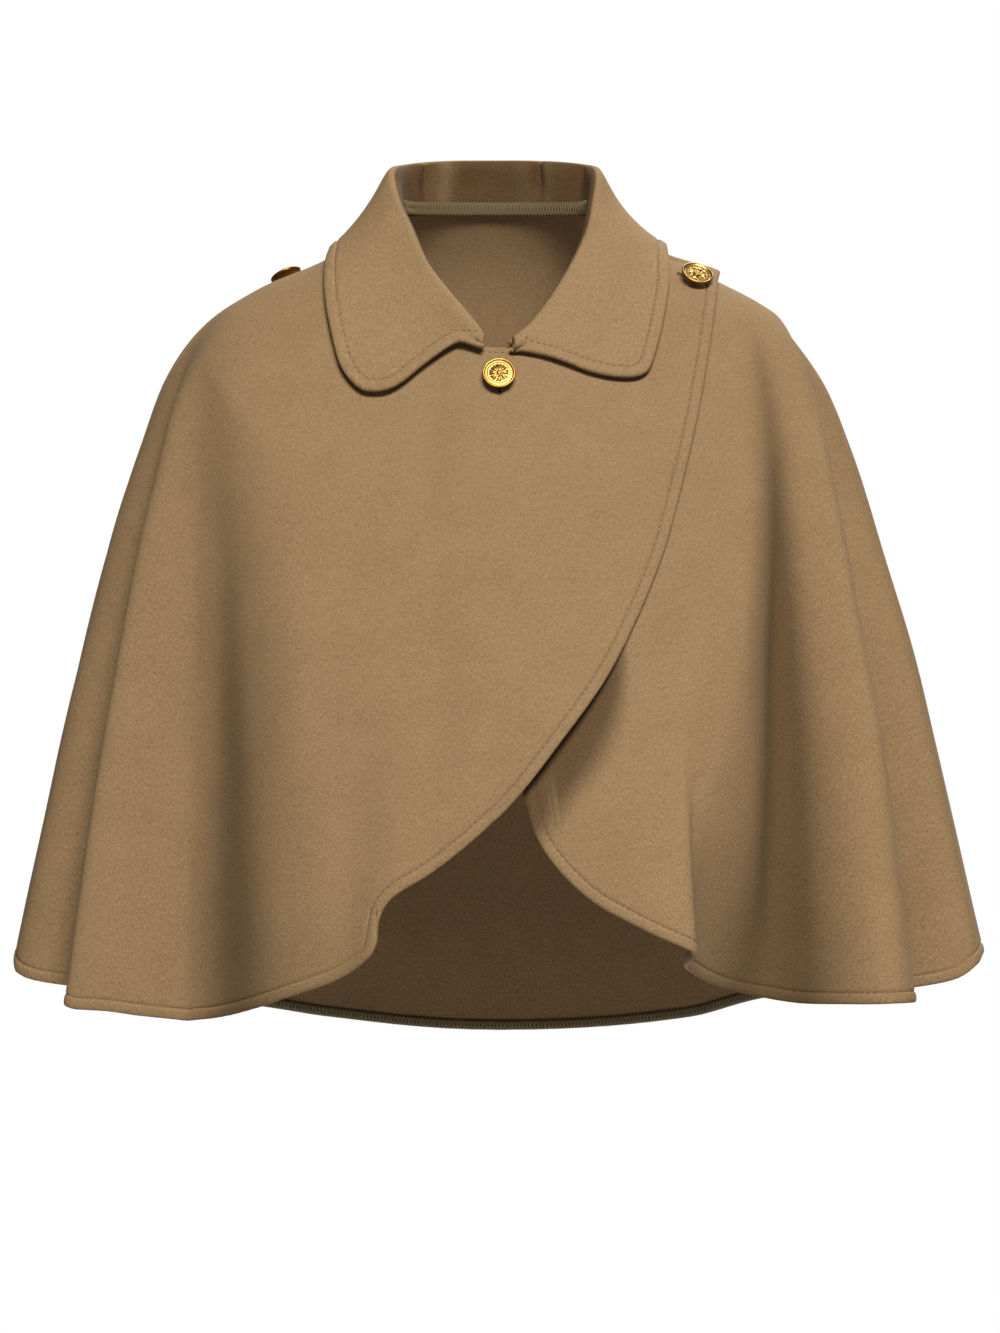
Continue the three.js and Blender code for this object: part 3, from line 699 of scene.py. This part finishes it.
# The topstitch thread's dark brown is partly its own colour and partly painted shade of the groove it sinks
# into
thread = thread_material("topstitch_thread", (0.125, 0.077, 0.035))
hem_serge = thread_material("hem_overlock_thread", (0.30, 0.225, 0.115))
hem_band = thread_material("hem_overlock_band", (0.11, 0.088, 0.044))
neck_serge = thread_material("neck_overlock_thread", (0.20, 0.138, 0.058))
neck_band = thread_material("neck_overlock_band", (0.105, 0.075, 0.034))
hole_thread = thread_material("buttonhole_thread", (0.10, 0.062, 0.03))
gold = gold_material()

right = panel("right_front_cloth", WRAP_NECK, WRAP_EDGE, 210, 96, wrap_lift, (0,), (1,))
wrapped_edge = right.surface(np.linspace(0.35, 1, 900), np.ones(900))[0]
left = panel("left_front_cloth", UNDER_NECK, UNDER_EDGE, 150, 96, no_lift, (1,), (0,), wrapped_edge)
back = panel("back_cloth", BACK_NECK, BACK_EDGE, 190, 90, no_lift, (0, 1))
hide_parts("right_front")
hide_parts("left_front")
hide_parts("back")


# Collar


def collar_section(run):
    """Ten points of the collar's section at each run, from the neck seam over the roll line to its edge,
    and the seam's angle there."""
    seam = Line(COLLAR_SEAM)
    edge_line = Line([row[:2] for row in COLLAR_EDGE])
    gaps = along(edge_line.run, [row[2] for row in COLLAR_EDGE], run)
    roll_rows = np.array(COLLAR_ROLL, float)
    steps = np.linalg.norm(np.diff(roll_rows, axis=0), axis=1)
    roll_run = np.concatenate([[0], np.cumsum(steps)]) / steps.sum()
    roll = np.stack([along(roll_run, roll_rows[:, k], run) for k in range(3)], -1)

    seam_angle = turn_to(seam.at(run, 0), 0)
    normal, fall = cloth_frame(seam_angle, np.zeros_like(run))
    seam_lift = np.where(run > 0.5, wrap_lift(seam_angle, np.zeros_like(run)), 0)
    foot = cloth_point(seam_angle, np.zeros_like(run)) + normal * seam_lift[..., None] - fall * SEAM_GAP
    upright = foot - fall * UPRIGHT
    edge_angle = turn_to(edge_line.at(run, 0), 0)
    edge_down = edge_line.at(run, 1)

    def collar_lift(angle, down):
        return wrap_lift(angle, down) + (CLOTH + COLLAR_CLOTH) / 2 + LAYER_GAP

    stand_off = collar_lift(edge_angle, edge_down) + gaps
    edge = cloth_point(edge_angle, edge_down) + cloth_frame(edge_angle, edge_down)[0] * stand_off[..., None]
    outward = unit((edge - foot) * LEVEL)
    bend = np.minimum(ROLL_RADIUS, np.linalg.norm(roll - foot, axis=-1) / 3)[..., None]
    inside = roll - outward * bend - UP * bend
    outside = roll + outward * bend - UP * bend
    bow = unit(outward + UP) * FALL_BOW

    def fall_point(share):
        point = outside + (edge - outside) * share - bow * 4 * share * (1 - share)
        angle = seam_angle + turn_to(edge_angle, seam_angle) * share
        down = edge_down * share
        on_cape = cloth_frame(angle, down)[0]
        height = np.sum((point - cloth_point(angle, down)) * on_cape, -1)
        return point + on_cape * np.maximum(0, collar_lift(angle, down) - height)[..., None]

    points = [
        foot, upright, (upright + inside) / 2, inside, roll, outside,
        fall_point(0.25), fall_point(0.5), fall_point(0.75), edge,
    ]
    return np.stack(points, -2), seam_angle


def collar_surface(run, share):
    """Collar points for arrays of run (columns) and share (columns by rows)."""
    section, seam_angle = collar_section(run)
    count = section.shape[1]
    slopes = np.empty_like(section)
    slopes[:, 1:-1] = (section[:, 2:] - section[:, :-2]) / 2
    slopes[:, 0] = section[:, 1] - section[:, 0]
    slopes[:, -1] = section[:, -1] - section[:, -2]
    place = np.clip(share, 0, 1) * (count - 1)
    k = np.clip(np.floor(place).astype(int), 0, count - 2)
    u = (place - k)[..., None]
    column = np.arange(len(run))[:, None]
    start, end = section[column, k], section[column, k + 1]
    a, b = slopes[column, k], slopes[column, k + 1]
    step = end - start
    point = start + u * a + u**2 * (3 * step - 2 * a - b) + u**3 * (a + b - 2 * step)
    # Soft creases in the standing part
    stand = np.exp(-(((share - 0.3) / 0.13) ** 2))
    away = (point * LEVEL) / np.maximum(np.linalg.norm(point[..., :2], axis=-1), 1)[..., None]
    for angle, width, depth in STAND_CREASES:
        bell = np.exp(-((turn_to(seam_angle, angle) / width) ** 2))
        point = point + away * (stand * (bell * depth)[:, None])[..., None]
    return point


def grid_normals(points):
    """The outward normals of a grid of points."""
    around = np.gradient(points, axis=0)
    over = np.gradient(points, axis=1)
    return unit(np.cross(over, around))


ends = ROUND_STEPS / 360
between_ends = np.linspace(ends[-1], 1 - ends[-1], COLLAR_COLUMNS)[1:-1]
collar_runs = np.concatenate([ends, between_ends, 1 - ends[::-1]])
collar_steps = EDGE_STEPS.copy()
collar_steps[5:] += COLLAR_INSET - STITCH_INSET
edge_samples = collar_surface(np.linspace(0, 1, 3000), np.ones((3000, 1)))


def collar_rows_of_points():
    """Shares of the collar's section, closer together near its seam and its edge, for each run."""
    fine = np.linspace(0, 1, 400)
    fall_part = np.count_nonzero(fine > 0.5)
    points = collar_surface(collar_runs, np.broadcast_to(fine, (len(collar_runs), len(fine))))
    to_edge = nearest([edge_samples], points)[:, ::-1][:, :fall_part]
    shares = []
    for column, distance in zip(points, to_edge):
        climb = np.maximum.accumulate(distance + np.arange(fall_part) * NUDGE)
        reach = min(1.0, 0.9 * climb[-1] / collar_steps[-1])
        near = np.interp(collar_steps * reach, climb, fine[::-1][:fall_part])
        top = ROUND_STEPS / np.linalg.norm(np.diff(column, axis=0), axis=1).sum()
        shares.append(np.concatenate([top, np.linspace(top[-1], near[-1], COLLAR_ROWS)[1:-1], near[::-1]]))
    return np.clip(np.sort(np.array(shares), axis=1), 0, 1)


def painted_collar_shade(shares):
    """The painted shade on the collar's stand inside the neck and along its creases, lessened by painted
    highlights beside them.
    """
    seam_angle = collar_section(collar_runs)[1]
    back_part = (ease(collar_runs, 0.03, 0.14) * (1 - ease(collar_runs, 0.86, 0.97)))[:, None]
    shade = PAINTED_STAND_SHADE * back_part * (1 - ease(shares, 0.385, 0.425))
    crease_line = np.exp(-(((shares - 0.3) / 0.09) ** 2))
    for angle, width, depth in STAND_CREASES:
        bell = np.exp(-((turn_to(seam_angle, angle + width * 0.6) / width) ** 2))
        shade = shade + PAINTED_CREASE_SHADE * depth * crease_line * bell[:, None]
    for angle, width, painted_highlight in PAINTED_STAND_HIGHLIGHTS:
        bell = np.exp(-((turn_to(seam_angle, angle) / width) ** 2))
        shade = shade - painted_highlight * (shares < STAND_PART) * bell[:, None]
    return np.clip(shade, 0, 1)


def sewn_collar():
    """The collar's shell over its stand, roll and fall."""
    shares = collar_rows_of_points()
    middle = collar_surface(collar_runs, shares)
    normal = grid_normals(middle)
    to_edge = nearest([edge_samples], middle)
    to_ends = nearest([middle[0], middle[-1], middle[:, 0]], middle)
    half = half_thickness(COLLAR_CLOTH, to_edge, to_ends, COLLAR_INSET)
    around = np.broadcast_to(collar_runs[:, None] * NAP_AROUND_COLLAR, shares.shape)
    uv = np.stack([around, shares * NAP_ACROSS_COLLAR], -1)
    piece = shell("collar_cloth", middle, normal, half, collar_wool, uv, painted_collar_shade(shares))
    return Panel(piece, collar_surface, middle, normal, half, to_edge)


collar = sewn_collar()
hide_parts("collar")

# Stitch rows


CORNER_STEP = 6  # a longer step between two points of a path is a corner


def row_of(name, path):
    """A row of stitches along a path of points with their normals, up to where the path turns a corner."""
    steps = np.linalg.norm(np.diff(path[:, :3], axis=0), axis=1)
    middle = len(path) // 2
    breaks = np.flatnonzero(steps > CORNER_STEP)
    start = max([k + 1 for k in breaks if k < middle], default=0)
    end = min([k + 1 for k in breaks if k >= middle], default=len(path))
    path = path[start:end]
    return strand_mesh(name, stitches(path[:, :3], path[:, 3:]), THREAD, thread)


def band(path, across, half_width, rise, sides=12):
    """Vertices and faces of a flat rounded band along a path of points with their normals."""
    turns = (np.arange(sides) * 2 * math.pi / sides)[None, :, None]
    wide = np.sign(np.cos(turns)) * np.abs(np.cos(turns)) ** 0.7
    high = np.sign(np.sin(turns)) * np.abs(np.sin(turns)) ** 0.7
    taper = np.ones(len(path))
    taper[[0, -1]] = 0.3
    offset = across[:, None] * wide * half_width + path[:, None, 3:] * high * rise
    vertices = (path[:, None, :3] + offset * taper[:, None, None]).reshape(-1, 3)
    index = np.arange(len(path) * sides).reshape(len(path), sides)
    following = np.roll(index, -1, axis=1)
    faces = np.stack([index[:-1], following[:-1], following[1:], index[1:]], -1).reshape(-1, 4).tolist()
    return vertices, faces + [index[0, ::-1].tolist(), index[-1].tolist()]


def overlock(name, path, size, band_material, material):
    """An overlocked edge: a soft band under threads that slant both ways across it."""
    width, pitch = size
    path = resample(path, pitch / 2)
    path[:, 3:] = unit(path[:, 3:])
    across = unit(np.cross(np.gradient(path[:, :3], axis=0), path[:, 3:]))
    vertices, faces = band(path, across, width / 2 - 0.3, 0.55)
    base = make_object(name + "_band", vertices, faces, band_material)
    strands = []
    spread = np.linspace(-1, 1, 7)
    arch = 0.75 - 0.55 * spread**2
    for k in range(2, len(path) - 4, 2):
        for lean in (1, -1):
            at = np.clip(k + lean * spread, 0, len(path) - 1)
            low = np.floor(at).astype(int)
            part = (at - low)[:, None]
            high = np.minimum(low + 1, len(path) - 1)
            spine = path[low] * (1 - part) + path[high] * part
            side = across[k] * (spread * width / 2)[:, None]
            strands.append(spine[:, :3] + side + spine[:, 3:] * (arch + 0.1 * lean)[:, None])
    threads = strand_mesh(name + "_threads", strands, OVERLOCK_THREAD, material)
    return [base, threads]


def neck_path():
    """Points along the neck seam on the stand's inner face, with normals into the neck hole."""
    runs = np.linspace(0, 1, 900)
    runs = runs[np.abs(turn_to(collar_section(runs)[1], 180)) < NECK_BAND_REACH]
    shares = np.linspace(0, 0.3, 61)
    stand = collar_surface(runs, np.broadcast_to(shares, (len(runs), len(shares))))
    foot = stand[:, 0, 2]
    level = foot + NECK_BAND_RISE + 0.5 * (foot.max() - foot)
    place = np.array([
        [np.interp(height, column[:, 2], column[:, axis]) for axis in range(3)]
        for height, column in zip(level, stand)
    ])
    outward = unit(place * LEVEL)
    return np.concatenate([place - outward * (COLLAR_CLOTH / 2 + BAND_STAND_OFF), -outward], -1)


def buttonhole(name, button):
    """A slit closed by two rows of close stitches, running down the cloth under its button."""
    length, width, pitch = BUTTONHOLE
    angle, down, _ = BUTTONS[button]
    angle, down = np.array([angle]), np.array([down])
    normal, fall = (v[0] for v in cloth_frame(angle, down))
    centre = cloth_point(angle, down)[0] + normal * (wrap_lift(angle, down)[0] + CLOTH / 2)
    across = np.cross(normal, fall)
    strands = []
    for along_slit in np.arange(-length / 2, length / 2, pitch):
        for side in (-1, 1):
            spread = np.linspace(0.12, 1, 5)
            arch = 0.42 * np.sin(spread * math.pi) + 0.05
            place = centre + fall * along_slit
            strands.append(place + across * (side * spread * width / 2)[:, None] + normal * arch[:, None])
    for end in (-length / 2, length / 2):
        spread = np.linspace(-1, 1, 9)
        for step in (-0.3, 0.3):
            place = centre + fall * (end + step)
            arch = 0.6 - 0.5 * spread**2
            strands.append(place + across * (spread * width * 0.6)[:, None] + normal * arch[:, None])
    return strand_mesh(name, strands, HOLE_THREAD, hole_thread)


right_rows = [row_of("right_front_stitches", inset_path(right, STITCH_INSET))]
left_rows = [row_of("left_front_stitches", inset_path(left, STITCH_INSET))]
back_rows = [row_of("back_stitches", inset_path(back, STITCH_INSET))]
collar_rows = [row_of("collar_stitches", inset_path(collar, COLLAR_INSET))]

# Stitches as they show inside, and the overlocked back hem and neck seam
sewn = ((right_rows, right, "right"), (left_rows, left, "left"), (back_rows, back, "back"))
for rows, cloth, name in sewn:
    inner = inset_path(cloth, STITCH_INSET + INNER_ROW_OFFSET, side=-1)
    strands = stitches(inner[:, :3], inner[:, 3:])
    rows.append(strand_mesh(name + "_inner_stitches", strands, THREAD, hem_serge))
hem = inset_path(back, HEM_OVERLOCK[0] / 2 + 0.2, side=-1)
back_rows += overlock("hem_overlock", hem, HEM_OVERLOCK, hem_band, hem_serge)
collar_rows += overlock("neck_overlock", neck_path(), NECK_OVERLOCK, neck_band, neck_serge)

# The row of stitches below the neckline in front, and the buttonholes
first, last, share = NECKLINE_ROW
front_points, front_normals = right.surface(np.linspace(first, last, 120), np.full(120, share))
neckline = np.concatenate([front_points + front_normals * (CLOTH / 2 - 0.1), front_normals], -1)
right_rows.append(row_of("neckline_stitches", neckline))
right_rows.append(buttonhole("neck_buttonhole", "neck_button"))
right_rows.append(buttonhole("shoulder_buttonhole", "left_shoulder_button"))


# Buttons


def button_relief(radius, turn):
    """A generic rosette within a ring of beads, in millimetres above the dished face."""
    petal = np.abs(np.cos(turn * PETALS / 2)) ** 0.7
    rosette = 0.95 * petal * np.sin(np.pi * np.clip((radius - 1.1) / 4.6, 0, 1)) ** 0.8
    vein = -0.34 * np.exp(-((np.sin(turn * PETALS / 2) / 0.16) ** 2))
    vein = vein * ease(radius, 1.6, 2.4) * (1 - ease(radius, 4.2, 5.2))
    heart = 1.0 * np.sqrt(np.clip(1 - (radius / 1.5) ** 2, 0, 1))
    bead = 0.45 * np.clip(np.cos(turn * BEADS), 0, 1) ** 0.6
    bead = bead * np.sqrt(np.clip(1 - ((radius - 6.9) / 0.52) ** 2, 0, 1))
    leaf = 0.26 * np.clip(np.cos(turn * PETALS * 2 + radius * 1.5), 0, 1)
    leaf = leaf * np.exp(-(((radius - 5.7) / 0.5) ** 2))
    return rosette + vein + heart + bead + leaf


def button(name):
    """A dished button on its shank, turned from a profile of radius, height and share of the relief."""
    angle, down, layers = BUTTONS[name]
    angle, down = np.array([angle]), np.array([down])
    normal, fall = (v[0] for v in cloth_frame(angle, down))
    lift = layers * wrap_lift(angle, down)[0] + CLOTH / 2 + SEAM_GAP
    foot = cloth_point(angle, down)[0] + normal * lift
    across = np.cross(normal, fall)
    face = SHANK_LENGTH + BUTTON_HEIGHT
    inner = BUTTON_RADIUS - BUTTON_RIM - 0.5
    disc = [(r, face - BUTTON_DISH + 0.3 * (1 - (r / inner) ** 2), 1) for r in np.linspace(0.05, inner, 44)]
    rim = [
        (BUTTON_RADIUS - BUTTON_RIM * (0.5 + 0.5 * math.cos(a)), face - 0.6 + 0.6 * math.sin(a), 0)
        for a in np.linspace(0.35, math.pi - 0.2, 12)
    ]
    side = [(radius, face - depth, 0) for radius, depth in BUTTON_SIDE]
    shank = [
        (3.4, SHANK_LENGTH, 0), (SHANK_RADIUS, SHANK_LENGTH - 0.3, 0), (SHANK_RADIUS * 0.8, 1.4, 0),
        (SHANK_RADIUS, 0.1, 0), (0.4, 0.0, 0),
    ]
    profile = disc + rim + side + shank
    turns = np.arange(BUTTON_SIDES) * 2 * math.pi / BUTTON_SIDES
    vertices = []
    for radius, height, relief in profile:
        high = height + relief * button_relief(radius, turns)
        ring_points = across * (radius * np.cos(turns))[:, None] + fall * (radius * np.sin(turns))[:, None]
        vertices.append(foot + ring_points + normal * high[:, None])
    index = np.arange(len(profile) * BUTTON_SIDES).reshape(len(profile), BUTTON_SIDES)
    following = np.roll(index, -1, axis=1)
    faces = np.stack([index[:-1], index[1:], following[1:], following[:-1]], -1).reshape(-1, 4).tolist()
    faces += [index[0].tolist(), index[-1, ::-1].tolist()]
    piece = make_object(name + "_gold", np.concatenate(vertices), faces, gold)
    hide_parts(name)


for node in BUTTONS:
    button(node)


# Floor, lights and camera


FLOOR_HEIGHT = -1.4  # where the wearer would stand
FLOOR_RADIUS = 4.8
FRONT_AMBIENT = 0.16  # the studio's own light in front of the cape
OVERHEAD_AMBIENT = 0.2


def stage_floor():
    """A pale floor that looks evenly lit to the camera."""
    turns = np.linspace(0, 2 * math.pi, 97)[:-1]
    rim = [(FLOOR_RADIUS * math.cos(a), FLOOR_RADIUS * math.sin(a), FLOOR_HEIGHT) for a in turns]
    mesh = bpy.data.meshes.new("floor")
    mesh.from_pydata(rim, [], [tuple(range(len(rim)))])
    material, nodes, links, shader = new_material("pale_floor")
    shader.inputs["Base Color"].default_value = (0.9, 0.9, 0.9, 1)
    shader.inputs["Roughness"].default_value = 0.9
    shader.inputs["Emission Color"].default_value = (0.5, 0.5, 0.5, 1)
    seen = nodes.new("ShaderNodeLightPath").outputs["Is Camera Ray"]
    links.new(seen, shader.inputs["Emission Strength"])
    mesh.materials.append(material)
    floor = bpy.data.objects.new("floor", mesh)
    bpy.context.scene.collection.objects.link(floor)


def softbox(name, place, aim, size, power, spread):
    """A rectangular lamp at a place, aimed at a point, with its beam's spread in degrees."""
    lamp = bpy.data.lights.new(name, "AREA")
    lamp.shape = "RECTANGLE"
    lamp.size, lamp.size_y = size
    lamp.energy = power
    lamp.spread = math.radians(spread)
    light = bpy.data.objects.new(name, lamp)
    light.location = place
    light.rotation_euler = (Vector(aim) - Vector(place)).to_track_quat("-Z", "Y").to_euler()
    bpy.context.scene.collection.objects.link(light)


stage_floor()
softbox("front_softbox", (0.45, -2.75, 2.05), (0.03, 0, -0.62), (1.7, 0.8), 21.5, 60)
softbox("rear_softbox", (0.9, 2.4, 2.4), (0, 0, -0.45), (2.0, 2.0), 22, 70)


def studio_world():
    """A white studio round the set, whose light is dimmer and warmer in front and overhead."""
    world = bpy.data.worlds.new("studio")
    world.use_nodes = True
    nodes, links = world.node_tree.nodes, world.node_tree.links

    def math_node(kind, a, b):
        node = nodes.new("ShaderNodeMath")
        node.operation = kind
        links.new(a, node.inputs[0])
        links.new(b, node.inputs[1])
        return node.outputs[0]

    direction = nodes.new("ShaderNodeTexCoord").outputs["Generated"]
    split = nodes.new("ShaderNodeSeparateXYZ")
    links.new(direction, split.inputs["Vector"])
    behind = ranged(nodes, links, split.outputs["Y"], (0.75, 0.9), (FRONT_AMBIENT, 1))
    low = ranged(nodes, links, split.outputs["Z"], (0.2, 0.155), (OVERHEAD_AMBIENT, 1))
    lighting = math_node("MULTIPLY", behind, low)
    seen = nodes.new("ShaderNodeLightPath").outputs["Is Camera Ray"]
    links.new(math_node("MAXIMUM", lighting, seen), nodes["Background"].inputs["Strength"])
    whiteness = math_node("MAXIMUM", behind, seen)
    warm = ramp(nodes, links, whiteness, [(0.3, (1.0, 0.9, 0.78)), (0.9, (1, 1, 1))])
    links.new(warm, nodes["Background"].inputs["Color"])
    bpy.context.scene.world = world


studio_world()
bpy.context.scene.view_settings.view_transform = "Standard"

CAMERA_DISTANCE = 3.0
CAMERA_HEIGHT = -0.2675
GARMENT_OFFSET = 0.0028
FRAME_HEIGHT = 0.8265  # what the picture takes in from top to bottom, at the garment's middle
SENSOR = 36.0
lens = bpy.data.cameras.new("camera")
lens.sensor_fit = "VERTICAL"
lens.sensor_height = SENSOR
lens.lens = SENSOR * CAMERA_DISTANCE / FRAME_HEIGHT
camera = bpy.data.objects.new("camera", lens)
camera.location = (GARMENT_OFFSET, -CAMERA_DISTANCE, CAMERA_HEIGHT)
camera.rotation_euler = (math.pi / 2, 0, 0)
bpy.context.scene.collection.objects.link(camera)
bpy.context.scene.camera = camera
